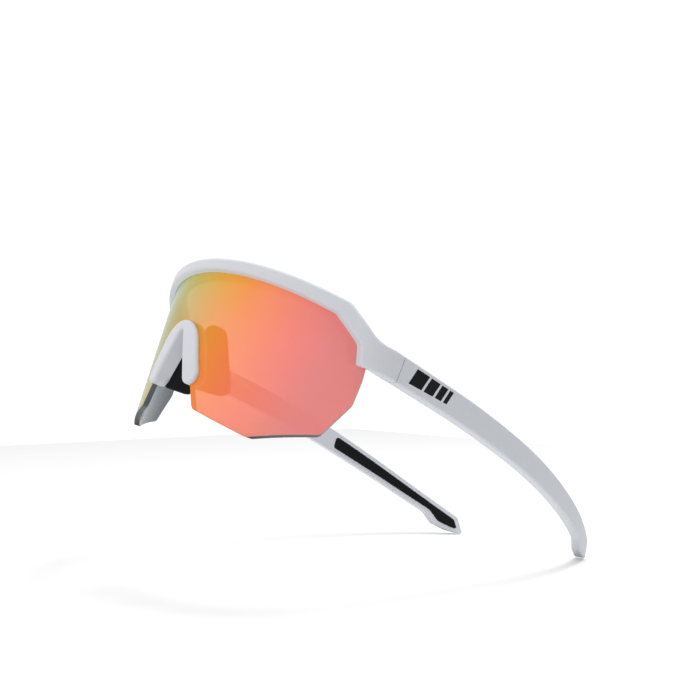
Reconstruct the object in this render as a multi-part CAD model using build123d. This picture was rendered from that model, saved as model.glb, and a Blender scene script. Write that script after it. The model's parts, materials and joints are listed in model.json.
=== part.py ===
from build123d import *
import os
from math import asin, atan2, cos, degrees, radians, sin, tan

# Wraparound sport sunglasses, standing as they are set down on a table: on the two
# lowest corners of the shield lens and on the two temple tips.
# Millimetres. +X is the wearer's left, -Y is forward, +Z is up.
# Everything is drawn with Y = 0 at the middle of the lens's front face, and moved to
# the middle of the whole object's length at the end.

# ---------------------------------------------------------------- lens
LENS_R = 85.25            # radius of the lens's front face, an upright cylinder
LENS_T = 2.0              # lens thickness
LENS_GROOVE = 1.5         # how far the lens reaches up into the brow
LENS_END = 66.75          # half width of the lens at its ends
LENS_END_Y = LENS_R - (LENS_R ** 2 - LENS_END ** 2) ** 0.5   # how far back its ends are
NOTCH_TOP = 39.3          # top of the nose notch
NOTCH_FOOT = (19.3, 5.5)  # where the notch meets the lower edge
LENS_LOW = (42.9, 0.0)    # lowest corner, which stands on the table
LENS_OUT = (61.6, 6.2)    # outer lower corner
LENS_SIDE = (66.2, 17.6)  # where the lower edge turns up into the side edge
LENS_EAR = 8.0            # height of the lens's bevelled corner above LENS_SIDE
LENS_EAR_TOP = 37.6       # top of the lens's ends, inside the end pieces
NOTCH_R, FOOT_R, LOW_R, OUT_R, SIDE_R = 3.7, 3.4, 2.5, 2.5, 4.0   # its rounded corners
LOW_TURN = 30.0           # about how far the lower edge turns at its lowest corner, degrees
LENS_PLAY = 0.06          # gap round the lens in its groove and in the nose saddle

# ---------------------------------------------------------------- brow frame, in plan
PROUD = 2.2               # brow in front of the lens
BEHIND = 2.2              # brow behind the lens
HALF_WIDE = 70.404        # half width of the frame behind its bends
BEND_R = 18.3             # outer radius of the bend from the brow into the temple line
LEAN = 5.5                # degrees that a temple leans inwards from straight back
WRAP = degrees(asin((HALF_WIDE - BEND_R * cos(radians(LEAN))) / (LENS_R + PROUD - BEND_R)))   # angle of the brow's own curve

# ---------------------------------------------------------------- brow frame, from the side
DROP = 6.5                # degrees that the temple line falls towards the back
BROW_TOP = 59.0           # top edge of the brow at its middle
BROW_FALL = 20.6          # fall of the top edge, degrees
LIP_Z = 54.9              # lower lip of the brow at its middle
LIP_FALL = 23.1           # fall of the lower lip, degrees
CORNER_TOP_Y, SHOULDER_FALL = LENS_END_Y - 8.022, 48.0   # outer corner of the brow, and the fall past it
CORNER_LIP_Y = LENS_END_Y - 10.222           # outer corner of the lower lip
CHEEK_END = (LENS_END_Y - 3.522, 36.6)       # where the lip turns down along the lens's end
HOOK_Y = LENS_END_Y - 2.522                  # front of the end piece, where it covers the lens's end
SEAM_Y, SEAM_TOP, SEAM_BOTTOM = LENS_END_Y + 10.278, 38.0, 28.6   # where the temple begins
EDGE_R, INNER_EDGE_R = 0.9, 0.3   # rounded edges of brow and temples, outside and inside

# ---------------------------------------------------------------- temples
TEMPLE_T = 4.2            # temple thickness
TEMPLE_STRAIGHT = 62.9    # straight stretch behind the seam, in plan
TEMPLE_CURL = ((190.0, 13.0), (110.0, 22.0))  # plan: radius and turn of each curl inwards
TOP_STRAIGHT, TOP_R = 25.6, 370.0            # side: upper edge
LOW_STRAIGHT, LOW_EDGE_R, LOW_FALL = 21.5, 465.0, 6.1   # side: lower edge
TIP_Y, TIP_RAKE = 176.8, 26.0   # back end of the temple at its foot, and how far it leans forward, degrees
BARB_FOOT, BARB_FALL = (165.4, 1.3), 43.0   # where the lower edge has stepped down, and how steeply it does
TIP_HIGH = 6.0            # about how high the upper edge meets that end
FOOT_Y = 171.5            # where the foot starts to lie on the table
BARB_R, BARB_HOLLOW_R, TIP_TOP_R, TIP_R = 2.5, 5.0, 2.4, 0.9   # corners of the tip
SEAM_GAP = 0.12           # half of the gap between end piece and temple

# ---------------------------------------------------------------- rubber grips in the temples
GRIP_FRONT = 112.4        # front end of the grip
GRIP_BORDER = 1.75        # white border round the grip
GRIP_DEPTH = 1.3          # depth of its recess
GRIP_RISE = 0.35          # how far the rubber stands out of it
GRIP_R = 1.2
GRIP_PLAY = 0.04

# ---------------------------------------------------------------- hinges
AXIS_IN = 0.6             # hinge axis inside the temple's inner face
KNUCKLE_R = 1.7
KNUCKLE_FRONT, KNUCKLE_TEMPLE = 2.0, 3.0   # heights of the knuckles
WASHER_T = 0.25
STACK_GAP = 0.05          # play between the rings of the stack
LEAF_T, LEAF_L = 0.8, 9.0
SCREW_R, PIVOT_PLAY = 0.70, 0.05
HEAD_R, HEAD_H = 1.15, 0.7
KNUCKLE_PLAY = 0.25       # gap between a knuckle and the pocket that it turns in
LEAF_SCREW_R, LEAF_HEAD_R, LEAF_HEAD_H, LEAF_SCREW_L = 0.5, 0.95, 0.4, 2.6
LEAF_SCREWS = (3.6, 7.0)  # distance of the two leaf screws from the axis
SLOT_W = 0.35             # driver slots
LEAF_PLAY = 0.04

# ---------------------------------------------------------------- nose piece
SADDLE_FOOT = 13.4        # lower end of the saddle's arms
SADDLE_OUT, SADDLE_OUT_PEAK, SADDLE_TOP_R = 19.6, 53.0, 13.3   # outer V: half width at its foot, peak, top radius
SADDLE_IN, SADDLE_IN_PEAK, SADDLE_IN_R = 11.3, 34.5, 1.5       # inner V
SADDLE_FOOT_R, FOOT_SHARE = 3.3, 0.4         # corners of the arms' feet, and at most this share of their width
SADDLE_PROUD = 1.3        # in front of the lens
SADDLE_CLAMP = 1.2        # behind the lens
WALL_T = 2.2              # wall that runs back from the arms
WALL_BACK = 4.8           # how far back it runs
TONGUE_T, TONGUE_L, TONGUE_H = 1.0, 2.4, 6.0
TONGUE_Z = 18.0           # height of the tongue's middle
PAD_T = 2.6
PAD_TILT, PAD_FLARE = 13.0, 14.0          # degrees that a pad leans in at its top and opens at its back
PAD_UP, PAD_DOWN = 19.0, 5.0              # how far it reaches above and below the tongue's middle
PAD_BACK_TOP, PAD_BACK_LOW = 7.0, 13.4    # how far back it runs at its top and foot
PAD_TOP_R, PAD_R = 3.3, 3.2              # its corners at the top and at its back foot
PAD_PLAY = 0.04


# ---------------------------------------------------------------- helpers
HIGH = 90.0               # higher than anything here
AHEAD = -12.0             # in front of everything here
BAY = (8.0, 1.6, 40.0)    # room inside the end piece: its width, its length past the leaf, its height
EDGE_SHARE, PAD_SHARE = 0.75, 0.3   # rounded edges, as shares of the saddle's proud height and the pad's thickness


def chain(start, heading, legs, shift=0.0):
    """Tangent lines and arcs, all moved to the right of their direction by shift.

    A leg is (length,) for a line, or (radius, turn) for an arc; a positive turn is to the left."""
    a = radians(heading)
    x, y = start[0] + shift * sin(a), start[1] - shift * cos(a)
    edges = []
    for leg in legs:
        if len(leg) == 1:
            end = (x + leg[0] * cos(a), y + leg[0] * sin(a))
            edges.append(Line((x, y), end))
        else:
            side = 1 if leg[1] > 0 else -1
            r, b = leg[0] + side * shift, a + radians(leg[1])
            centre = (x - side * r * sin(a), y + side * r * cos(a))
            on = [(centre[0] + side * r * sin(c), centre[1] - side * r * cos(c)) for c in ((a + b) / 2, b)]
            edges.append(ThreePointArc((x, y), on[0], on[1]))
            end, a = on[1], b
        x, y = end
    return edges


def band(start, heading, legs, outer, inner):
    """Plan face between two shifted copies of a chain."""
    one, two = chain(start, heading, legs, outer), chain(start, heading, legs, -inner)
    ends = [Line(one[0] @ 0, two[0] @ 0), Line(one[-1] @ 1, two[-1] @ 1)]
    return make_face(one + two + ends)


def upright(face, low=-10.0, high=80.0):
    return extrude(Pos(0, 0, low) * face, high - low)


def sideways(face, wide=200.0):
    """Solid whose outline from the side is a face drawn as (y, z)."""
    return extrude(Plane.YZ.offset(-wide / 2) * face, wide)


def frontal(face, front=-20.0, back=120.0):
    """Solid whose outline from the front is a face drawn as (x, z)."""
    return extrude(Plane(origin=(0, front, 0), x_dir=(1, 0, 0), z_dir=(0, -1, 0)) * face, front - back)


def soften(face, corners):
    """Round the corners of a face that are nearest to given points, each with its own radius."""
    for point, r in corners:
        if r:
            face = fillet(face.vertices().sort_by_distance((point[0], point[1], 0))[0], r)
    return face


def rounded(points, radii):
    """Closed outline with its own radius at each corner."""
    return soften(make_face(Polyline(*points, close=True)), zip(points, radii))


def long_edges(solid, outline, start=0.01, end=1e3):
    """Edges that follow a plan outline from start in X to end in Y, without its upright seams."""
    path = Wire(outline)

    def wanted(edge):
        m = edge.position_at(0.5)
        upright_seam = abs(edge.tangent_at(0.5).Z) > 0.999
        return m.X > start and m.Y < end and not upright_seam and path.distance_to(Vertex(m.X, m.Y, 0)) < 0.02
    return solid.edges().filter_by(wanted)


def both(solid):
    return solid, mirror(solid, about=Plane.YZ)


def ring(outer, inner, height):
    return Cylinder(outer, height) - Cylinder(inner, height * 2)


# ---------------------------------------------------------------- the line of the outer face, in plan
FRONT = (0, -PROUD)
BROW_LEGS = [(LENS_R + PROUD, WRAP), (BEND_R, 90 - WRAP + LEAN)]
BAND_T = PROUD + LENS_T + BEHIND
seam_point = chain(FRONT, 0, BROW_LEGS)[-1] @ 1
SEAM_X = seam_point.X + (seam_point.Y - SEAM_Y) * tan(radians(LEAN))
OVERRUN = 4.0             # extra length past the seam, cut off there
HINGE_Z = (SEAM_TOP + SEAM_BOTTOM) / 2
AXIS_FROM_OUTSIDE = TEMPLE_T + AXIS_IN
HINGE = (SEAM_X - AXIS_FROM_OUTSIDE / cos(radians(LEAN)), SEAM_Y, HINGE_Z)
HINGE_AT = Location(HINGE) * Rotation(-DROP, 0, 0) * Rotation(0, 0, LEAN)


def in_hinge(solid, x=0.0, y=0.0, z=0.0):
    """Place a solid in the left hinge's own frame: Z is its axis, X points outwards, Y back."""
    return HINGE_AT * Pos(x, y, z) * solid


def seam_half(back):
    """Everything on one side of the seam, as a big box."""
    depth = 400.0
    return in_hinge(Box(300, depth, 300), y=(depth / 2 + SEAM_GAP) * (1 if back else -1))


# ---------------------------------------------------------------- lens
def on_slope(z_at_zero, fall, y):
    return z_at_zero - y * tan(radians(fall))


def brow_side():
    """Side outline of the brow frame."""
    top0, lip0 = on_slope(BROW_TOP, BROW_FALL, PROUD), on_slope(LIP_Z, LIP_FALL, PROUD)
    corner = (CORNER_TOP_Y, on_slope(top0, BROW_FALL, CORNER_TOP_Y))
    temple_top = SEAM_TOP + SEAM_Y * tan(radians(DROP))
    shoulder_y = (corner[1] + corner[0] * tan(radians(SHOULDER_FALL)) - temple_top) / (
        tan(radians(SHOULDER_FALL)) - tan(radians(DROP)))
    end_y = SEAM_Y + OVERRUN
    low0 = SEAM_BOTTOM + SEAM_Y * tan(radians(LOW_FALL))
    lip_corner = (CORNER_LIP_Y, on_slope(lip0, LIP_FALL, CORNER_LIP_Y))
    points = [
        (AHEAD, on_slope(top0, BROW_FALL, AHEAD)), corner,
        (shoulder_y, on_slope(temple_top, DROP, shoulder_y)),
        (end_y, on_slope(temple_top, DROP, end_y)),
        (end_y, on_slope(low0, LOW_FALL, end_y)),
        (HOOK_Y, on_slope(low0, LOW_FALL, HOOK_Y)),
        CHEEK_END, lip_corner,
        (AHEAD, on_slope(lip0, LIP_FALL, AHEAD)),
    ]
    return rounded(points, [0, 3.0, 9.0, 0, 0, 0.8, 4.0, 2.0, 0])


def lens_shell(play=0.0):
    axis = Pos(0, LENS_R, 0)
    outside = axis * Cylinder(LENS_R + play, 200)
    return outside - axis * Cylinder(LENS_R - LENS_T - play, 300) - Pos(0, LENS_R + 100, 0) * Box(400, 200, 400)


def lens_offcut(play=0.0):
    """What is cut away round the lens's left end, squarely through its thickness."""
    end_angle = asin(LENS_END / LENS_R)

    def seen(point):
        return LENS_R * sin(asin(point[0] / LENS_R) - end_angle) + play, point[1]
    out, side = seen(LENS_OUT), seen(LENS_SIDE)
    below = (out[0] * 3 - side[0] * 2, out[1] * 3 - side[1] * 2)
    points = [below, side, (play, side[1] + LENS_EAR), (play, HIGH), (HIGH, HIGH), (HIGH, below[1])]
    end_on = Plane(origin=(0, LENS_R, 0), x_dir=(cos(end_angle), sin(end_angle), 0),
                   z_dir=(sin(end_angle), -cos(end_angle), 0))
    return extrude(end_on * rounded(points, [0, SIDE_R, SIDE_R, 0, 0, 0]), LENS_R * 1.5)


def lens_blank(play=0.0):
    """The lens, or with play the space that it needs."""
    rise = (LENS_OUT[1] - LENS_LOW[1]) / (LENS_OUT[0] - LENS_LOW[0])
    wide = LENS_OUT[0] * 1.5
    low_lift = LOW_R * (1 / cos(radians(LOW_TURN / 2)) - 1)
    half = [NOTCH_FOOT, (LENS_LOW[0], LENS_LOW[1] - low_lift),
            (wide, LENS_LOW[1] + rise * (wide - LENS_LOW[0])), (wide, HIGH)]
    radii = [FOOT_R, LOW_R, 0, 0]
    points = [(0, NOTCH_TOP)] + half + [(-x, z) for x, z in reversed(half)]
    outline = rounded(points, [NOTCH_R] + radii + list(reversed(radii)))
    top0 = on_slope(LIP_Z, LIP_FALL, PROUD) + LENS_GROOVE + play
    top = make_face(Polyline((AHEAD, -5), (AHEAD, on_slope(top0, LIP_FALL, AHEAD)),
                             (CORNER_TOP_Y, on_slope(top0, LIP_FALL, CORNER_TOP_Y)),
                             (HOOK_Y, LENS_EAR_TOP + play), (HIGH, LENS_EAR_TOP + play), (HIGH, -5), close=True))
    offcut = lens_offcut(play)
    return (lens_shell(play) & frontal(outline)) & sideways(top) - offcut - mirror(offcut, about=Plane.YZ)


def shield_lens():
    """The lens, with its outer lower corners rounded through its thickness."""
    lens = lens_blank()
    through = lens.edges().filter_by(lambda e: e.length < LENS_T * 1.2)
    depth = LENS_R - (LENS_R ** 2 - LENS_OUT[0] ** 2) ** 0.5
    corners = [through.sort_by_distance((x, depth, LENS_OUT[1]))[0] for x in (LENS_OUT[0], -LENS_OUT[0])]
    return fillet(corners, OUT_R)


# ---------------------------------------------------------------- brow frame
def brow_frame():
    legs = BROW_LEGS + [(OVERRUN * 2,)]
    half = upright(band(FRONT, 0, legs, 0, BAND_T)) & sideways(brow_side())
    half = fillet(long_edges(half, chain(FRONT, 0, legs)), EDGE_R)
    half = fillet(long_edges(half, chain(FRONT, 0, legs, -BAND_T)), INNER_EDGE_R)
    half = half & seam_half(back=False)
    wide, longer, high = BAY
    front, past = LEAF_L + longer, 2.0
    bay = in_hinge(Box(wide, front + past, high), x=AXIS_IN - wide / 2, y=(past - front) / 2)
    half = half - bay - leaf_seat(-1) - knuckle_pocket() - leaf_screw_holes(-1)
    whole = half + mirror(half, about=Plane.YZ)
    return whole - lens_blank(LENS_PLAY)


# ---------------------------------------------------------------- hinges
STACK = 2 * KNUCKLE_FRONT + KNUCKLE_TEMPLE + 2 * WASHER_T + 4 * STACK_GAP


def knuckle_pocket():
    return in_hinge(Cylinder(KNUCKLE_R + KNUCKLE_PLAY, STACK + 2 * KNUCKLE_PLAY))


def leaf_seat(way):
    """Recess for a leaf; way is -1 in the end piece and 1 in the temple."""
    length = LEAF_L + LEAF_PLAY
    return in_hinge(Box(LEAF_T + LEAF_PLAY, length, STACK + 2 * LEAF_PLAY),
                    x=AXIS_IN + (LEAF_T + LEAF_PLAY) / 2, y=way * length / 2)


def leaf_screw_holes(way):
    """Screw holes in the wall behind a leaf; way is -1 in the end piece and 1 in the temple."""
    hole = Rotation(0, 90, 0) * Cylinder(LEAF_SCREW_R, LEAF_SCREW_L * 2)
    return [in_hinge(hole, x=AXIS_IN, y=way * d) for d in LEAF_SCREWS]


def leaf(way, knuckles, bore):
    """A hinge leaf with knuckles of given (height, centre) and its two screw holes."""
    body = in_hinge(Box(LEAF_T, LEAF_L, STACK), x=AXIS_IN + LEAF_T / 2, y=way * LEAF_L / 2)
    body = body - in_hinge(Cylinder(KNUCKLE_R + KNUCKLE_PLAY, STACK * 2))
    arm = KNUCKLE_R + 1
    for height, centre in knuckles:
        body = body + in_hinge(Box(LEAF_T, arm, height), x=AXIS_IN + LEAF_T / 2, y=way * arm / 2, z=centre)
        body = body + in_hinge(Cylinder(KNUCKLE_R, height), z=centre)
    body = body - in_hinge(Cylinder(bore, STACK * 2))
    for d in LEAF_SCREWS:
        through = Rotation(0, 90, 0) * Cylinder(LEAF_SCREW_R + LEAF_PLAY, 4)
        sink = Rotation(0, 90, 0) * Cylinder(LEAF_HEAD_R + LEAF_PLAY, LEAF_HEAD_H * 2)
        body = body - in_hinge(through, x=AXIS_IN, y=way * d) - in_hinge(sink, x=AXIS_IN, y=way * d)
    return body


OUTER_KNUCKLE_Z = (STACK - KNUCKLE_FRONT) / 2


def front_leaf():
    body = leaf(-1, [(KNUCKLE_FRONT, OUTER_KNUCKLE_Z), (KNUCKLE_FRONT, -OUTER_KNUCKLE_Z)],
                SCREW_R + PIVOT_PLAY)
    counterbore = Cylinder(HEAD_R + PIVOT_PLAY, HEAD_H * 2)
    return body - in_hinge(counterbore, z=STACK / 2)


def temple_leaf():
    return leaf(1, [(KNUCKLE_TEMPLE, 0)], SCREW_R + PIVOT_PLAY)


def hinge_screw():
    shank = Cylinder(SCREW_R, STACK)
    head = Pos(0, 0, STACK / 2 - HEAD_H / 2) * Cylinder(HEAD_R, HEAD_H)
    slot = Pos(0, 0, STACK / 2) * Box(HEAD_R * 3, SLOT_W, HEAD_H * 0.9)
    return in_hinge(shank + head - slot)


def hinge_washers():
    z = (KNUCKLE_TEMPLE + WASHER_T) / 2 + STACK_GAP
    washer = ring(KNUCKLE_R, SCREW_R + PIVOT_PLAY, WASHER_T)
    return Compound(children=[in_hinge(washer, z=z), in_hinge(washer, z=-z)])


def leaf_screws(way):
    """The two screws that hold a leaf."""
    shank = Pos(LEAF_SCREW_L / 2, 0, 0) * (Rotation(0, 90, 0) * Cylinder(LEAF_SCREW_R, LEAF_SCREW_L))
    head = Pos(LEAF_HEAD_H / 2, 0, 0) * (Rotation(0, 90, 0) * Cylinder(LEAF_HEAD_R, LEAF_HEAD_H))
    screw = shank + head - Box(LEAF_HEAD_H, LEAF_HEAD_R * 3, SLOT_W)
    return [in_hinge(screw, x=AXIS_IN, y=way * d) for d in LEAF_SCREWS]


# ---------------------------------------------------------------- temples
TEMPLE_LEGS = BROW_LEGS + [(TEMPLE_STRAIGHT,)] + list(TEMPLE_CURL)


def lower_edge_z(y):
    """Height of a temple's lower edge, before it steps down to the foot."""
    run = y - SEAM_Y
    return SEAM_BOTTOM - run * tan(radians(LOW_FALL)) - max(run - LOW_STRAIGHT, 0) ** 2 / (2 * LOW_EDGE_R)


def barb_top():
    """Where the lower edge starts to step down."""
    y = BARB_FOOT[0]
    for _ in range(6):
        y = BARB_FOOT[0] - (lower_edge_z(y) - BARB_FOOT[1]) / tan(radians(BARB_FALL))
    return y, lower_edge_z(y)


def temple_outline():
    """Side outline of a temple, with sharp corners."""
    start = SEAM_Y - OVERRUN
    upper = chain((start, SEAM_TOP + OVERRUN * tan(radians(DROP))), -DROP,
                  [(TOP_STRAIGHT + OVERRUN,), (TOP_R, -22.0)])
    lower = chain((start, SEAM_BOTTOM + OVERRUN * tan(radians(LOW_FALL))), -LOW_FALL,
                  [(LOW_STRAIGHT + OVERRUN,), (LOW_EDGE_R, -18.0)])
    shaft = make_face(upper + lower + [Line(upper[0] @ 0, lower[0] @ 0), Line(upper[-1] @ 1, lower[-1] @ 1)])
    within = 14.0
    inside = (BARB_FOOT[0] - within * cos(radians(BARB_FALL)), BARB_FOOT[1] + within * sin(radians(BARB_FALL)))
    past = TIP_Y + OVERRUN
    foot = make_face(Polyline(inside, BARB_FOOT, (FOOT_Y, 0), (past, 0), (past, inside[1]), close=True))
    roof = make_face(upper + [Polyline(upper[-1] @ 1, (TIP_Y + HIGH, -HIGH), (start, -HIGH), upper[0] @ 0)])
    tip = make_face(Polyline((start, 0), (TIP_Y, 0), (TIP_Y - HIGH * tan(radians(TIP_RAKE)), HIGH), (start, HIGH),
                             close=True))
    return (shaft + (foot & roof)) & tip


def tip_top(inset=0.0):
    """About where the upper edge meets the raked end."""
    return TIP_Y - inset - TIP_HIGH * tan(radians(TIP_RAKE)), TIP_HIGH - inset


def temple_side():
    """Side outline of a temple, with its corners rounded."""
    return soften(temple_outline(), [(barb_top(), BARB_HOLLOW_R), (BARB_FOOT, BARB_R),
                                     (tip_top(), TIP_TOP_R), ((TIP_Y, 0), TIP_R)])


def grip_side(play):
    """Side outline of a grip, drawn in from the temple's by a white border."""
    inset = GRIP_BORDER + play
    face = offset(temple_outline(), -inset, kind=Kind.INTERSECTION)
    face = face & (Pos(GRIP_FRONT + play + HIGH, 0) * Rectangle(HIGH * 2, HIGH * 2))
    front = face.vertices().sort_by(Axis.X)[:2]
    return soften(face, [(barb_top(), BARB_HOLLOW_R), (BARB_FOOT, BARB_R), (tip_top(inset), GRIP_R),
                         ((TIP_Y - inset, inset), GRIP_R / 2)] + [((v.X, v.Y), GRIP_R) for v in front])


def temple():
    body = upright(band(FRONT, 0, TEMPLE_LEGS, 0, TEMPLE_T)) & sideways(temple_side())
    body = max(body.solids(), key=lambda s: s.volume)
    body = fillet(long_edges(body, chain(FRONT, 0, TEMPLE_LEGS)), EDGE_R)
    body = fillet(long_edges(body, chain(FRONT, 0, TEMPLE_LEGS, -TEMPLE_T)), INNER_EDGE_R)
    body = body & seam_half(back=True)
    body = body - leaf_seat(1) - knuckle_pocket() - leaf_screw_holes(1)
    return body - grip_blank(0.0, 0.0)


def grip_blank(play, rise):
    """The space of a grip, or with play and rise the rubber that lies in it."""
    strip = upright(band(FRONT, 0, TEMPLE_LEGS, -(TEMPLE_T - GRIP_DEPTH + play), TEMPLE_T + (rise or 2.0)))
    solid = strip & sideways(grip_side(play))
    return max(solid.solids(), key=lambda s: s.center().X)


def temple_grip():
    return grip_blank(GRIP_PLAY, GRIP_RISE)


# ---------------------------------------------------------------- nose piece
def inner_v(out=0.0, r=0.0):
    """Triangle of the saddle's inner V, moved outwards by out."""
    half_angle = atan2(SADDLE_IN, SADDLE_IN_PEAK - SADDLE_FOOT)
    peak = SADDLE_IN_PEAK + out / sin(half_angle)
    foot = -5.0
    wide = (peak - foot) * tan(half_angle)
    return rounded([(0, peak), (-wide, foot), (wide, foot)], [r, 0, 0])


def nose_saddle():
    outer = make_face(Polyline((0, SADDLE_OUT_PEAK), (-SADDLE_OUT, SADDLE_FOOT), (SADDLE_OUT, SADDLE_FOOT),
                               close=True))
    outer = fillet(outer.vertices().sort_by(Axis.Y)[-1], SADDLE_TOP_R)
    arms = outer - inner_v(r=SADDLE_IN_R)
    foot_r = min(SADDLE_FOOT_R, (SADDLE_OUT - SADDLE_IN) * FOOT_SHARE)
    arms = fillet(arms.vertices().filter_by(lambda v: v.Y < SADDLE_FOOT + 0.01), foot_r)
    axis = Pos(0, LENS_R, 0)
    jaw = axis * ring(LENS_R + SADDLE_PROUD, LENS_R - LENS_T - SADDLE_CLAMP, 200)
    jaw = jaw - Pos(0, LENS_R + 100, 0) * Box(400, 200, 400)
    front = frontal(arms) & jaw
    front = fillet(front.faces().sort_by(Axis.Y)[0].edges(), SADDLE_PROUD * EDGE_SHARE)
    wall = frontal((inner_v(WALL_T, r=SADDLE_IN_R + WALL_T) - inner_v(r=SADDLE_IN_R)) & arms, -PROUD, WALL_BACK)
    wall = wall & (axis * Cylinder(LENS_R, 200))
    body = front + wall - lens_blank(LENS_PLAY)
    tongue = pad_plane() * (Pos((TONGUE_L - 1) / 2, 0, 0) * Box(TONGUE_L + 1, TONGUE_H, TONGUE_T))
    return body + tongue + mirror(tongue, about=Plane.YZ)


def pad_plane():
    """Plane of the left pad: X runs back, Y up, Z across the pad's thickness."""
    a, f = radians(PAD_TILT), radians(PAD_FLARE)
    out = Vector(cos(a), 0, sin(a))
    back = Vector(0, 1, 0) * cos(f) + out * sin(f)
    up = Vector(-sin(a), 0, cos(a))
    slope = SADDLE_IN / (SADDLE_IN_PEAK - SADDLE_FOOT)
    middle = (SADDLE_IN_PEAK - TONGUE_Z) * slope + WALL_T / 2 * (1 + slope ** 2) ** 0.5
    return Plane(origin=(middle, WALL_BACK, TONGUE_Z), x_dir=back, z_dir=back.cross(up))


def nose_pad():
    front = -PAD_T / 2 * sin(radians(PAD_FLARE)) - 2 * PAD_PLAY
    outline = rounded([(front, PAD_UP), (PAD_BACK_TOP, PAD_UP), (PAD_BACK_LOW, -PAD_DOWN), (front, -PAD_DOWN)],
                      [PAD_TOP_R, PAD_TOP_R, PAD_R, 0])
    pad = pad_plane() * (Pos(0, 0, -PAD_T / 2) * extrude(outline, PAD_T))
    pad = fillet(pad.edges(), PAD_T * PAD_SHARE)
    pad = pad - Pos(0, WALL_BACK + PAD_PLAY - 50, 0) * Box(200, 100, 200)
    slot = Pos(TONGUE_L / 2, 0, 0) * Box(TONGUE_L + 2 * PAD_PLAY + 2, TONGUE_H + 2 * PAD_PLAY,
                                         TONGUE_T + 2 * PAD_PLAY)
    return pad - pad_plane() * slot


# ---------------------------------------------------------------- assembly
def pieces():
    """Every piece by name, still drawn from the middle of the lens's front face."""
    made = {"brow_frame": brow_frame(), "shield_lens": shield_lens(), "nose_saddle": nose_saddle()}
    mirrored = {
        "nose_pad": nose_pad(), "temple": temple(), "temple_grip": temple_grip(),
        "hinge_front_leaf": front_leaf(), "hinge_temple_leaf": temple_leaf(),
        "hinge_screw": hinge_screw(), "hinge_washers": hinge_washers(),
        "temple_leaf_screws": Compound(children=leaf_screws(1)),
    }
    for name, solid in mirrored.items():
        made[name + "_left"], made[name + "_right"] = both(solid)
    front_screws = leaf_screws(-1)
    made["front_leaf_screws"] = Compound(children=front_screws + [mirror(s, about=Plane.YZ) for s in front_screws])
    return made


def middle_y(made):
    boxes = [solid.bounding_box() for solid in made.values()]
    return (min(b.min.Y for b in boxes) + max(b.max.Y for b in boxes)) / 2


def main():
    made = pieces()
    back = -middle_y(made)
    os.makedirs("parts", exist_ok=True)
    for name, solid in made.items():
        export_step(Pos(0, back, 0) * solid, f"parts/{name}.step")
    print("moved back by", round(back, 4), "hinge at", [round(v, 4) for v in (HINGE[0], HINGE[1] + back, HINGE[2])])


main()
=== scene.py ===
"""Wraparound sport sunglasses on white paper: finishes, soft parts, print, lights and camera.

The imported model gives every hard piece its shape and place. This script dresses those pieces,
builds the moulded rubber and the lens with its mirror coat, and sets up the studio.
All lengths are in metres, apart from the sizes that are said to be in millimetres.
"""
from __future__ import annotations

import json
import logging
import math
from dataclasses import dataclass, field
from enum import Enum

import bmesh
import bpy
from mathutils import Matrix, Vector

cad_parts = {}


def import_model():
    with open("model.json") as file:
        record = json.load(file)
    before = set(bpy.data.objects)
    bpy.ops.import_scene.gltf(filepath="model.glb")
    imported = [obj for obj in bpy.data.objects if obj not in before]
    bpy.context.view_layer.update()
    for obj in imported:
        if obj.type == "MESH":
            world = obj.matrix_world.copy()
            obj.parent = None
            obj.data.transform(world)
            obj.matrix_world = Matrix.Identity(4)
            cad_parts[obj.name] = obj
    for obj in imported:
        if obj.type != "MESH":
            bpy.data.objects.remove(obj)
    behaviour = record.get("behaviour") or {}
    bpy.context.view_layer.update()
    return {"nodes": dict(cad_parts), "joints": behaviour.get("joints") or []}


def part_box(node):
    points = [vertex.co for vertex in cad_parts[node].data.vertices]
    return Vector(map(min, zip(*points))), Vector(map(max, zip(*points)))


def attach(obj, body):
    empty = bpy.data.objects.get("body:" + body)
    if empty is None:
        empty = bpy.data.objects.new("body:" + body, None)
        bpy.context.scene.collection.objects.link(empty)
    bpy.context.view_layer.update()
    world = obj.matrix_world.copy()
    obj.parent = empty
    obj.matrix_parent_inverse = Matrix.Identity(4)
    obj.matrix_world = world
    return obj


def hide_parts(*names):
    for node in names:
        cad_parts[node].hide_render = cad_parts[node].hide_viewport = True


LOG = logging.getLogger("sunglasses")
MM = 0.001
SHADE_PATCHES = 45.0      # patches of a slightly different shade in a metre, about 22 mm each
ROUGH_SPREAD = 0.05       # how far a finish's roughness wanders with its grain
GRAIN_HEIGHT = 0.3        # height of a grain as a share of its width


# ----------------------------------------------------------------------------- small tools
def linear(hex_colour: str) -> tuple[float, float, float, float]:
    """Turn an sRGB hex colour into a linear colour with alpha 1.

    Args:
        hex_colour: Six hex digits, with or without a leading hash.

    Returns:
        Red, green, blue and alpha, linear.
    """
    digits = hex_colour.lstrip("#")
    channels = []
    for start in (0, 2, 4):
        value = int(digits[start:start + 2], 16) / 255
        channels.append(value / 12.92 if value <= 0.04045 else ((value + 0.055) / 1.055) ** 2.4)
    return (channels[0], channels[1], channels[2], 1.0)


def add_node(tree: bpy.types.NodeTree, kind: str, settings: dict | None = None,
             links: dict | None = None) -> bpy.types.Node:
    """Add a node, set its properties and inputs, and link its inputs.

    Args:
        tree: The node tree that gets the node.
        kind: The node's type, such as "ShaderNodeMath".
        settings: Property names or input names or numbers, with their values.
        links: Input names or numbers, with the output sockets that feed them.

    Returns:
        The new node.
    """
    node = tree.nodes.new(kind)
    for key, value in (settings or {}).items():
        if isinstance(key, str) and hasattr(node, key):
            setattr(node, key, value)
        else:
            node.inputs[key].default_value = value
    for key, socket in (links or {}).items():
        tree.links.new(socket, node.inputs[key])
    return node


def dress(obj: bpy.types.Object, material: bpy.types.Material) -> None:
    """Give an object one material in all its slots."""
    if not obj.material_slots:
        obj.data.materials.append(material)
    for place in obj.material_slots:
        place.material = material


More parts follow.
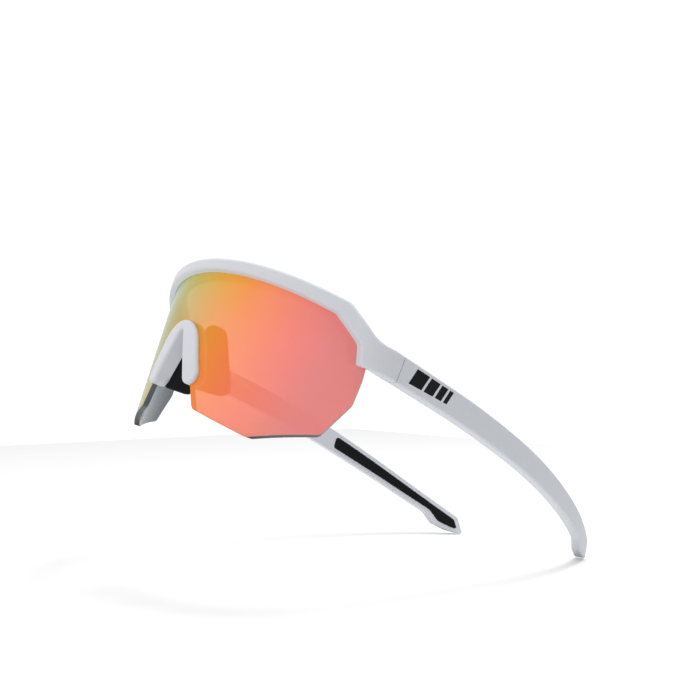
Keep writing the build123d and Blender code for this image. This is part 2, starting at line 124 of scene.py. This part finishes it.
def copy_of(node: bpy.types.Object, name: str) -> bpy.types.Object:
    """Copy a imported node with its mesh, as a free object without the node's own marks.

    Args:
        node: The node.
        name: The copy's name.

    Returns:
        The copy, linked to the scene.
    """
    piece = node.copy()
    piece.data = node.data.copy()
    piece.name = name
    piece.parent = None
    for key in list(piece.keys()):
        del piece[key]
    bpy.context.collection.objects.link(piece)
    return piece


class Side(Enum):
    """A side of the glasses, as the wearer has it, and its sign along X."""

    LEFT = 1
    RIGHT = -1

    @property
    def word(self) -> str:
        """The side as it stands in names."""
        return self.name.lower()


# ----------------------------------------------------------------------------- finishes
@dataclass(frozen=True)
class Finish:
    """A plain finish: one colour with the skin that its tool gave it."""

    name: str
    colour: str
    shade: str
    roughness: float
    ior: float
    metallic: float
    grain_mm: float
    depth: float
    specular: float = 0.5

    def build(self) -> bpy.types.Material:
        """Make the finish as a material.

        Returns:
            A material whose colour and roughness vary a little with its grain.
        """
        material = bpy.data.materials.new(self.name)
        material.use_nodes = True
        tree = material.node_tree
        tree.nodes.clear()
        place = add_node(tree, "ShaderNodeTexCoord").outputs["Object"]
        fine = add_node(tree, "ShaderNodeTexNoise", {"Scale": 1.0 / (self.grain_mm * MM), "Detail": 3.0},
                        {"Vector": place})
        broad = add_node(tree, "ShaderNodeTexNoise", {"Scale": SHADE_PATCHES, "Detail": 2.0}, {"Vector": place})
        tint = add_node(tree, "ShaderNodeMix",
                        {"data_type": "RGBA", 6: linear(self.colour), 7: linear(self.shade)},
                        {0: broad.outputs["Fac"]})
        rough = add_node(tree, "ShaderNodeMapRange",
                         {"To Min": self.roughness - ROUGH_SPREAD, "To Max": self.roughness + ROUGH_SPREAD},
                         {"Value": fine.outputs["Fac"]})
        bump = add_node(tree, "ShaderNodeBump",
                        {"Strength": self.depth, "Distance": self.grain_mm * MM * GRAIN_HEIGHT},
                        {"Height": fine.outputs["Fac"]})
        shader = add_node(tree, "ShaderNodeBsdfPrincipled",
                          {"IOR": self.ior, "Metallic": self.metallic, "Specular IOR Level": self.specular},
                          {"Base Color": tint.outputs[2], "Roughness": rough.outputs["Result"],
                           "Normal": bump.outputs["Normal"]})
        add_node(tree, "ShaderNodeOutputMaterial", None, {"Surface": shader.outputs["BSDF"]})
        return material


# Nylon (PA12), injection moulded and left satin: a cool light grey-white with soft highlights.
WHITE_NYLON = Finish("satin_white_moulded_nylon", "#CDD0D6", "#C9CCD2", 0.42, 1.50, 0.0, 0.25, 0.15)
# Thermoplastic elastomer with a matt moulded skin: nearly black, with a faint blue in its sheen.
BLACK_RUBBER = Finish("matt_black_elastomer", "#08090D", "#0D0F14", 0.66, 1.50, 0.0, 0.35, 0.5,
                      specular=0.16)
# Stainless strip, stamped: grey with a soft directionless shine.
STAMPED_STEEL = Finish("stamped_stainless_steel", "#A9ABAE", "#9DA0A4", 0.32, 1.50, 1.0, 0.2, 0.2)
# Stainless rod, turned: brighter and smoother than the stampings.
TURNED_STEEL = Finish("turned_stainless_steel", "#BABCBF", "#B0B2B6", 0.24, 1.50, 1.0, 0.15, 0.2)
# Unfilled nylon: milky and faintly waxy.
NATURAL_NYLON = Finish("natural_nylon", "#DEDCD0", "#D6D3C6", 0.45, 1.53, 0.0, 0.2, 0.1)
# Pad-printed ink on the temples: flat near-black with a little gloss.
PRINT_INK = Finish("pad_printed_black_ink", "#0E0F12", "#131418", 0.42, 1.50, 0.0, 0.1, 0.05,
                   specular=0.16)
# Polycarbonate (the lens), with a milled and tumbled edge: a dull grey-green line, darker than the faces.
LENS_EDGE = Finish("tumbled_polycarbonate_edge", "#4E5758", "#454E50", 0.35, 1.586, 0.0, 0.3, 0.05)


@dataclass(frozen=True)
class MirrorCoat:
    """The lens's outer face: an evaporated mirror coat on tinted polycarbonate.

    Its colour runs from teal through yellow and orange to rose across the lens. This is partly the coat's own
    grading
    and partly painted reflection colour: the shift that the coat shows with the viewing angle, fixed by place on
    the lens.
    The stops are in millimetres from the lens's middle, at level_z above the table, and slant is
    how far they move outwards for each millimetre above that. The coat is thinner, deeper in
    colour and more see-through round the nose, out to thin_from, and full from thin_to.
    """

    name: str = "evaporated_mirror_coat"
    # painted reflection colour: besides the coat's own grading, these stops carry the coat's colour shift with the
    # viewing angle, fixed by place
    stops: tuple[tuple[float, str], ...] = (
        (-60.0, "#699A8D"), (-30.0, "#8BA07D"), (-20.0, "#9FAF6A"), (-10.0, "#B5B34C"), (-3.0, "#C2B137"),
        (4.0, "#D1B02E"), (10.0, "#DBAA28"), (18.0, "#EEA327"), (25.0, "#F59A3A"), (31.0, "#F99450"),
        (38.0, "#FB8F66"), (46.0, "#F98873"), (54.0, "#F4847D"), (62.0, "#E68582"))
    half_width: float = 67.0
    level_z: float = 45.0
    slant: float = 0.3
    roughness: float = 0.14
    haze: float = 0.02
    haze_patches: float = 60.0
    ior: float = 1.586
    specular: float = 0.14
    alpha: float = 0.89
    full_alpha: float = 0.985
    thin_from: float = 38.4
    thin_to: float = 60.0
    thin_tint: str = "#FBE4BE"

    def ramp(self, tree: bpy.types.NodeTree, across: bpy.types.NodeSocket) -> bpy.types.NodeSocket:
        """Add a colour ramp whose stops are places across the lens in millimetres.

        Args:
            tree: The material's node tree.
            across: The socket that runs from 0 to 1 over the lens's width.

        Returns:
            The ramp's colour socket.
        """
        node = add_node(tree, "ShaderNodeValToRGB", None, {"Fac": across})
        node.color_ramp.interpolation = "B_SPLINE"
        colours = node.color_ramp.elements
        for index, (place, colour) in enumerate(self.stops):
            position = (place + self.half_width) / (2 * self.half_width)
            stop = colours[index] if index < 2 else colours.new(position)
            stop.position = position
            stop.color = linear(colour)
        return node.outputs["Color"]

    def build(self) -> bpy.types.Material:
        """Make the coat as a material.

        Returns:
            A material whose colour, depth and clearness follow the place on the lens.
        """
        material = bpy.data.materials.new(self.name)
        material.use_nodes = True
        tree = material.node_tree
        tree.nodes.clear()
        place = add_node(tree, "ShaderNodeTexCoord").outputs["Object"]
        axes = add_node(tree, "ShaderNodeSeparateXYZ", None, {"Vector": place})
        drift = add_node(tree, "ShaderNodeMath",
                         {"operation": "MULTIPLY_ADD", 1: -self.slant, 2: self.slant * self.level_z * MM},
                         {0: axes.outputs["Z"]})
        along = add_node(tree, "ShaderNodeMath", {"operation": "ADD"},
                         {0: axes.outputs["X"], 1: drift.outputs["Value"]})
        across = add_node(tree, "ShaderNodeMapRange",
                          {"From Min": -self.half_width * MM, "From Max": self.half_width * MM},
                          {"Value": along.outputs["Value"]})
        # the coat's own grading together with painted reflection colour, set by place across the lens
        tint = self.ramp(tree, across.outputs["Result"])
        haze = add_node(tree, "ShaderNodeTexNoise", {"Scale": self.haze_patches, "Detail": 1.0}, {"Vector": place})
        rough = add_node(tree, "ShaderNodeMapRange",
                         {"To Min": self.roughness - self.haze, "To Max": self.roughness + self.haze},
                         {"Value": haze.outputs["Fac"]})
        upright = add_node(tree, "ShaderNodeCombineXYZ", None, {0: axes.outputs["X"], 1: axes.outputs["Z"]})
        spread = add_node(tree, "ShaderNodeVectorMath", {"operation": "DISTANCE", 1: (0.0, 0.0, 0.0)},
                          {0: upright.outputs["Vector"]})
        thick = add_node(tree, "ShaderNodeMapRange",
                         {"interpolation_type": "SMOOTHSTEP", "From Min": self.thin_from * MM,
                          "From Max": self.thin_to * MM},
                         {"Value": spread.outputs["Value"]}).outputs["Result"]
        cover = add_node(tree, "ShaderNodeMapRange", {"To Min": self.alpha, "To Max": self.full_alpha},
                         {"Value": thick})
        deep = add_node(tree, "ShaderNodeMix", {"data_type": "RGBA", "blend_type": "MULTIPLY", 0: 1.0,
                                                7: linear(self.thin_tint)}, {6: tint})
        tint = add_node(tree, "ShaderNodeMix", {"data_type": "RGBA"},
                        {0: thick, 6: deep.outputs[2], 7: tint}).outputs[2]
        shader = add_node(tree, "ShaderNodeBsdfPrincipled", {"IOR": self.ior, "Specular IOR Level": self.specular},
                          {"Base Color": tint, "Roughness": rough.outputs["Result"],
                           "Alpha": cover.outputs["Result"]})
        add_node(tree, "ShaderNodeOutputMaterial", None, {"Surface": shader.outputs["BSDF"]})
        return material


@dataclass(frozen=True)
class SmokedBack:
    """The lens's rear face: smoke-tinted polycarbonate, seen from the wearer's side only."""

    name: str = "smoke_tinted_polycarbonate"
    colour: str = "#464B63"
    shade: str = "#40455C"
    patches: float = 30.0
    roughness: float = 0.12
    ior: float = 1.586
    alpha: float = 0.88

    def build(self) -> bpy.types.Material:
        """Make the rear face as a material.

        Returns:
            A material that is clear when it is met from behind.
        """
        material = bpy.data.materials.new(self.name)
        material.use_nodes = True
        tree = material.node_tree
        tree.nodes.clear()
        place = add_node(tree, "ShaderNodeTexCoord").outputs["Object"]
        behind = add_node(tree, "ShaderNodeNewGeometry").outputs["Backfacing"]
        broad = add_node(tree, "ShaderNodeTexNoise", {"Scale": self.patches, "Detail": 1.0}, {"Vector": place})
        tint = add_node(tree, "ShaderNodeMix",
                        {"data_type": "RGBA", 6: linear(self.colour), 7: linear(self.shade)},
                        {0: broad.outputs["Fac"]})
        seen = add_node(tree, "ShaderNodeMapRange", {"To Min": self.alpha, "To Max": 0.0}, {"Value": behind})
        shader = add_node(tree, "ShaderNodeBsdfPrincipled", {"IOR": self.ior, "Roughness": self.roughness},
                          {"Base Color": tint.outputs[2], "Alpha": seen.outputs["Result"]})
        add_node(tree, "ShaderNodeOutputMaterial", None, {"Surface": shader.outputs["BSDF"]})
        return material


# ----------------------------------------------------------------------------- studio
@dataclass
class Studio:
    """White paper, soft light and the camera, all placed from the lens's front and the temple tips.

    The room glows more from the side that glow_from points to. The camera looks from just under
    the table top, so the table shows only from above, and a sloping paper shows below it.
    """

    lens_front: float
    tips_y: float
    camera_from_lens: Vector = field(default_factory=lambda: Vector((0.3408, -0.1529, -0.0338)))
    right: Vector = field(default_factory=lambda: Vector((0.5695, 0.7760, 0.2710)))
    up: Vector = field(default_factory=lambda: Vector((0.0119, -0.3375, 0.9413)))
    lens_mm: float = 55.6
    ramp_degrees: float = 19.7
    softbox_place: tuple[float, float, float] = (0.17, -0.08, 0.86)
    softbox_size: float = 0.34
    softbox_watts: float = 4.6
    glow_from: tuple[float, float, float] = (-0.62, -0.72, 0.32)
    glow: float = 1.14
    seen_white: float = 1.05
    paper_lift: float = 0.25

    def camera(self) -> bpy.types.Object:
        """Set up the camera.

        Returns:
            The camera object.
        """
        data = bpy.data.cameras.new("camera")
        data.lens = self.lens_mm
        data.sensor_width = 36.0
        data.clip_start = 0.01
        camera = bpy.data.objects.new("camera", data)
        bpy.context.collection.objects.link(camera)
        right = self.right.normalized()
        up = (self.up - right * self.up.dot(right)).normalized()
        turn = Matrix((right, up, right.cross(up))).transposed().to_4x4()
        place = self.camera_from_lens + Vector((0, self.lens_front, 0))
        camera.matrix_world = Matrix.Translation(place) @ turn
        bpy.context.scene.camera = camera
        return camera

    def sheet(self, name: str, low: tuple[float, float], high: tuple[float, float], degrees: float,
              paper: bpy.types.Material) -> None:
        """Lay a paper sheet.

        Args:
            name: The sheet's name.
            low: X and Y of its front right corner, from the middle of the line through the temple tips.
            high: The same for its back left corner.
            degrees: How steeply it rises towards the back, about that line.
            paper: Its material.
        """
        mesh = bpy.data.meshes.new(name)
        corners = [(low[0], low[1], 0), (high[0], low[1], 0), (high[0], high[1], 0), (low[0], high[1], 0)]
        mesh.from_pydata(corners, [], [(0, 1, 2, 3)])
        sheet = bpy.data.objects.new(name, mesh)
        bpy.context.collection.objects.link(sheet)
        pivot = Matrix.Translation((0, self.tips_y, -0.0001))
        sheet.matrix_world = pivot @ Matrix.Rotation(math.radians(degrees), 4, "X")
        dress(sheet, paper)

    def paper(self) -> bpy.types.Material:
        """Make matt white paper, a little lit from within.

        Returns:
            A material that is clear from its underside.
        """
        material = bpy.data.materials.new("matt_white_paper")
        material.use_nodes = True
        tree = material.node_tree
        tree.nodes.clear()
        side = add_node(tree, "ShaderNodeNewGeometry").outputs["Backfacing"]
        paper = add_node(tree, "ShaderNodeBsdfDiffuse", {"Color": linear("#D6D6D6")})
        lift = add_node(tree, "ShaderNodeEmission", {"Strength": self.paper_lift})
        lit = add_node(tree, "ShaderNodeAddShader", None, {0: paper.outputs["BSDF"], 1: lift.outputs["Emission"]})
        clear = add_node(tree, "ShaderNodeBsdfTransparent")
        both = add_node(tree, "ShaderNodeMixShader", None,
                        {0: side, 1: lit.outputs["Shader"], 2: clear.outputs["BSDF"]})
        add_node(tree, "ShaderNodeOutputMaterial", None, {"Surface": both.outputs["Shader"]})
        return material

    def softbox(self) -> None:
        """Hang a square softbox that faces the glasses."""
        data = bpy.data.lights.new("overhead_softbox", "AREA")
        data.size = self.softbox_size
        data.energy = self.softbox_watts
        lamp = bpy.data.objects.new("overhead_softbox", data)
        bpy.context.collection.objects.link(lamp)
        lamp.location = self.softbox_place
        lamp.rotation_euler = Vector(self.softbox_place).to_track_quat("Z", "Y").to_euler()

    def world(self) -> None:
        """Set up a white room: pure white to look at, and as light brighter in front than at the back."""
        world = bpy.data.worlds.new("white_room")
        bpy.context.scene.world = world
        world.use_nodes = True
        tree = world.node_tree
        tree.nodes.clear()
        ray = add_node(tree, "ShaderNodeLightPath").outputs["Is Camera Ray"]
        way = add_node(tree, "ShaderNodeTexCoord").outputs["Generated"]
        facing = add_node(tree, "ShaderNodeVectorMath", {"operation": "DOT_PRODUCT", 1: self.glow_from}, {0: way})
        glow = add_node(tree, "ShaderNodeMapRange",
                        {"interpolation_type": "SMOOTHSTEP", "From Min": -1.0, "To Max": self.glow},
                        {"Value": facing.outputs["Value"]})
        power = add_node(tree, "ShaderNodeMix", {"data_type": "FLOAT", 3: self.seen_white},
                         {0: ray, 2: glow.outputs["Result"]})
        room = add_node(tree, "ShaderNodeBackground", {"Color": linear("#FFFFFF")}, {"Strength": power.outputs[0]})
        add_node(tree, "ShaderNodeOutputWorld", None, {"Surface": room.outputs["Background"]})

    def build(self) -> None:
        """Set up the whole studio."""
        self.camera()
        self.world()
        paper = self.paper()
        self.sheet("table_top", (-0.9, -1.0), (0.9, 0.9), 0.0, paper)
        self.sheet("paper_ramp", (-0.7, -0.9), (0.7, 0.4), self.ramp_degrees, paper)
        self.softbox()
        bpy.context.scene.view_settings.view_transform = "Standard"
        LOG.info("studio ready")


# ----------------------------------------------------------------------------- the glasses
@dataclass
class HardPieces:
    """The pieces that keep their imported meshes, with the finish of each."""

    nodes: dict[str, bpy.types.Object]
    finishes: dict[str, Finish] = field(default_factory=lambda: {
        "brow_frame": WHITE_NYLON, "nose_saddle": WHITE_NYLON, "temple": WHITE_NYLON,
        "hinge_front_leaf": STAMPED_STEEL, "hinge_temple_leaf": STAMPED_STEEL,
        "hinge_screw": TURNED_STEEL, "leaf_screws": TURNED_STEEL, "hinge_washers": NATURAL_NYLON,
    })

    def finish_of(self, name: str) -> Finish | None:
        """Find the finish of a node, by its name without the side.

        Args:
            name: The node's name.

        Returns:
            Its finish, or nothing for a piece that is made anew.
        """
        plain = name.removesuffix("_left").removesuffix("_right")
        if plain.endswith("leaf_screws"):
            plain = "leaf_screws"
        return self.finishes.get(plain)

    def dress(self) -> None:
        """Give every hard piece its material."""
        made: dict[str, bpy.types.Material] = {}
        for name, node in self.nodes.items():
            finish = self.finish_of(name)
            if finish is None:
                continue
            if finish.name not in made:
                made[finish.name] = finish.build()
            dress(node, made[finish.name])
            LOG.info("dressed %s in %s", name, finish.name)


@dataclass
class ShieldLens:
    """The curved lens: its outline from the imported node, its faces turned to true cylinders."""

    node: bpy.types.Object
    front_radius: float = 0.08525
    thickness: float = 0.002
    strip_degrees: float = 0.75
    reach_degrees: float = 54.0
    same_point: float = 1e-6
    face_on: float = 0.9

    def build(self) -> bpy.types.Object:
        """Make the lens and dress its outer face, its rear face and its cut edge.

        Returns:
            The lens, which rides on the front and stands for its node.
        """
        lens = copy_of(self.node, "coated_lens")
        lens.data.materials.clear()
        for finish in (MirrorCoat(), SmokedBack(), LENS_EDGE):
            lens.data.materials.append(finish.build())
        self.refine(lens.data)
        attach(lens, "front")
        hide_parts("shield_lens")
        LOG.info("lens: %d faces", len(lens.data.polygons))
        return lens

    def refine(self, mesh: bpy.types.Mesh) -> None:
        """Cut the lens into narrow upright strips, set them on its two cylinders and sort its faces.

        Args:
            mesh: The lens's mesh, changed in place.
        """
        lens = bmesh.new()
        lens.from_mesh(mesh)
        bmesh.ops.remove_doubles(lens, verts=lens.verts, dist=self.same_point)
        axis_y = min(v.co.y for v in lens.verts) + self.front_radius
        steps = int(self.reach_degrees / self.strip_degrees)
        for step in range(-steps, steps + 1):
            turn = math.radians(step * self.strip_degrees)
            bmesh.ops.bisect_plane(lens, geom=lens.verts[:] + lens.edges[:] + lens.faces[:],
                                   plane_co=(0, axis_y, 0), plane_no=(math.cos(turn), math.sin(turn), 0))
        middle = self.front_radius - self.thickness / 2
        for vert in lens.verts:
            out = Vector((vert.co.x, vert.co.y - axis_y))
            radius = self.front_radius if out.length > middle else self.front_radius - self.thickness
            if abs(out.length - radius) < self.thickness / 4:
                out = out.normalized() * radius
                vert.co.x, vert.co.y = out.x, out.y + axis_y
        lens.normal_update()
        for face in lens.faces:
            centre = face.calc_center_median()
            out = Vector((centre.x, centre.y - axis_y, 0)).normalized()
            facing = face.normal.dot(out)
            face.material_index = 0 if facing > self.face_on else 1 if facing < -self.face_on else 2
            face.smooth = True
        for edge in lens.edges:
            edge.smooth = len({face.material_index for face in edge.link_faces}) == 1
        lens.to_mesh(mesh)
        lens.free()


@dataclass
class RubberMoulding:
    """A soft piece moulded in rubber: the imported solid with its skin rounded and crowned."""

    node: bpy.types.Object
    name: str
    body: str
    voxel: float = 0.0005
    passes: int = 6
    swell: float = 0.00012

    def build(self, rubber: bpy.types.Material) -> bpy.types.Object:
        """Make the moulding.

        Args:
            rubber: Its material.

        Returns:
            The piece, which rides on its body and stands for its node.
        """
        piece = copy_of(self.node, self.name)
        remesh = piece.modifiers.new("skin", "REMESH")
        remesh.mode = "VOXEL"
        remesh.voxel_size = self.voxel
        relax = piece.modifiers.new("round", "SMOOTH")
        relax.factor = 0.5
        relax.iterations = self.passes
        evaluated = piece.evaluated_get(bpy.context.evaluated_depsgraph_get())
        mesh = bpy.data.meshes.new_from_object(evaluated)
        piece.modifiers.clear()
        piece.data = mesh
        for vert in mesh.vertices:
            vert.co = vert.co + vert.normal * self.swell
        mesh.shade_smooth()
        mesh.materials.clear()
        mesh.materials.append(rubber)
        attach(piece, self.body)
        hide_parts(self.node.name)
        LOG.info("%s: %d faces", self.name, len(mesh.polygons))
        return piece


@dataclass
class TemplePrint:
    """A pad-printed row of slanted bars on a temple's outer face, behind the hinge, in millimetres."""

    joint: dict
    side: Side
    body: str
    lean_degrees: float = 5.5
    face_out: float = 4.8
    start: float = 4.6
    height: float = 6.6
    slant: float = 1.9
    film: float = 0.03
    bars: tuple[float, ...] = (6.0, 4.4, 3.0, 1.8)
    gap: float = 1.0

    def frame(self) -> Matrix:
        """Find the left hinge's own frame.

        Returns:
            The frame: X outwards, Y back along the temple, Z up the hinge's axis.
        """
        axis = Vector(self.joint["axis"])
        axis = axis if axis.z > 0 else -axis
        back = axis.cross(Vector((1, 0, 0))).normalized()
        lean = math.radians(self.lean_degrees)
        out = Vector((1, 0, 0)) * math.cos(lean) + back * math.sin(lean)
        along = axis.cross(out)
        turn = Matrix((out, along, axis)).transposed().to_4x4()
        place = Vector(self.joint["pos_m"])
        place.x = abs(place.x)
        return Matrix.Translation(place) @ turn

    def build(self, ink: bpy.types.Material) -> bpy.types.Object:
        """Print the bars.

        Args:
            ink: The ink.

        Returns:
            The print, which rides on its temple.
        """
        sheet = bmesh.new()
        place = self.start
        for width in self.bars:
            low, high = -self.height / 2, self.height / 2
            corners = [(place, low), (place + width, low), (place + width + self.slant, high),
                       (place + self.slant, high)]
            ends = []
            for out in (self.face_out - self.film, self.face_out + self.film):
                ends.append([sheet.verts.new((out * MM, y * MM, z * MM)) for y, z in corners])
            bottom, top = ends
            sheet.faces.new(top)
            sheet.faces.new(list(reversed(bottom)))
            for here in range(len(corners)):
                there = (here + 1) % len(corners)
                sheet.faces.new((bottom[here], bottom[there], top[there], top[here]))
            place += width + self.gap
        sheet.transform(self.frame())
        if self.side is Side.RIGHT:
            sheet.transform(Matrix.Scale(-1, 4, Vector((1, 0, 0))))
            bmesh.ops.reverse_faces(sheet, faces=sheet.faces)
        mesh = bpy.data.meshes.new(self.body + "_print")
        sheet.to_mesh(mesh)
        sheet.free()
        mesh.materials.append(ink)
        printed = bpy.data.objects.new(mesh.name, mesh)
        bpy.context.collection.objects.link(printed)
        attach(printed, self.body)
        LOG.info("%s: %d bars", mesh.name, len(self.bars))
        return printed


def main() -> None:
    """Build the scene, piece by piece."""
    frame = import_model()
    nodes = frame["nodes"]
    Studio(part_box("shield_lens")[0].y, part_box("temple_left")[1].y).build()
    HardPieces(nodes).dress()
    ShieldLens(nodes["shield_lens"]).build()
    rubber, ink = BLACK_RUBBER.build(), PRINT_INK.build()
    joints = {joint["child"]: joint for joint in frame["joints"]}
    for side in Side:
        body = side.word + "_temple"
        pad, grip = nodes["nose_pad_" + side.word], nodes["temple_grip_" + side.word]
        RubberMoulding(pad, "soft_nose_pad_" + side.word, "front", passes=8).build(rubber)
        RubberMoulding(grip, "soft_grip_" + side.word, body, passes=3).build(rubber)
        TemplePrint(joints[body], side, body).build(ink)


if __name__ == "__main__":
    logging.basicConfig(level=logging.INFO)
    main()
